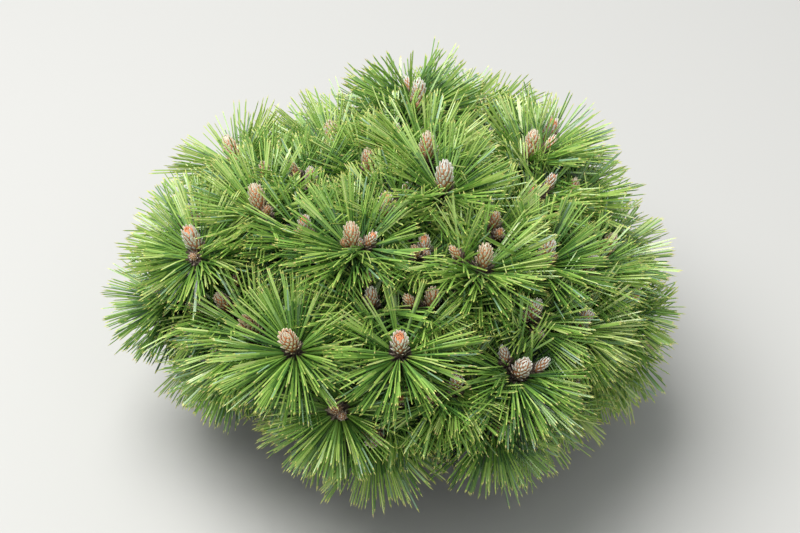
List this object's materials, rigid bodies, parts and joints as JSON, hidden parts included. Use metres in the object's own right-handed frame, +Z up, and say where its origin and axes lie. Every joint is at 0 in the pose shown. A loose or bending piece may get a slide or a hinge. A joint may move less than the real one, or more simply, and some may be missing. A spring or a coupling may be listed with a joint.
{
  "type": "dwarf bosnian pine",
  "caption": "Low dome-shaped dwarf pine rooted in the ground: short flared trunk, upswept boughs and dense masses of long paired needles with pale scaly buds.",
  "frame": {"origin": "centre of the flat cut under the trunk, at ground level", "axes": "+Z up, -Y towards the viewer of the picture, +X to the right in it"},
  "size_m": [0.4738, 0.4341, 0.2893],
  "materials": {
    "bark": "rough",
    "foliage": "satin"
  },
  "bodies": {
    "root": {"trunk": "bark", "bough_crown_1": "bark", "bough_crown_2": "bark", "bough_crown_3": "bark", "bough_crown_4": "bark", "bough_crown_5": "bark", "bough_crown_6": "bark", "bough_crown_7": "bark", "bough_flank_1": "bark", "bough_flank_2": "bark", "bough_flank_3": "bark", "bough_flank_4": "bark", "bough_flank_5": "bark", "bough_flank_6": "bark", "bough_flank_7": "bark", "bough_flank_8": "bark", "bough_flank_9": "bark", "bough_flank_10": "bark", "bough_flank_11": "bark", "bough_flank_12": "bark", "bough_skirt_1": "bark", "bough_skirt_2": "bark", "bough_skirt_3": "bark", "bough_skirt_4": "bark", "bough_skirt_5": "bark", "bough_skirt_6": "bark", "bough_skirt_7": "bark", "bough_skirt_8": "bark", "bough_skirt_9": "bark", "bough_skirt_10": "bark", "foliage_top": "foliage", "foliage_crown_1": "foliage", "foliage_crown_2": "foliage", "foliage_crown_3": "foliage", "foliage_crown_4": "foliage", "foliage_crown_5": "foliage", "foliage_crown_6": "foliage", "foliage_crown_7": "foliage", "foliage_flank_1": "foliage", "foliage_flank_2": "foliage", "foliage_flank_3": "foliage", "foliage_flank_4": "foliage", "foliage_flank_5": "foliage", "foliage_flank_6": "foliage", "foliage_flank_7": "foliage", "foliage_flank_8": "foliage", "foliage_flank_9": "foliage", "foliage_flank_10": "foliage", "foliage_flank_11": "foliage", "foliage_flank_12": "foliage", "foliage_skirt_1": "foliage", "foliage_skirt_2": "foliage", "foliage_skirt_3": "foliage", "foliage_skirt_4": "foliage", "foliage_skirt_5": "foliage", "foliage_skirt_6": "foliage", "foliage_skirt_7": "foliage", "foliage_skirt_8": "foliage", "foliage_skirt_9": "foliage", "foliage_skirt_10": "foliage"}
  },
  "joints": []
}
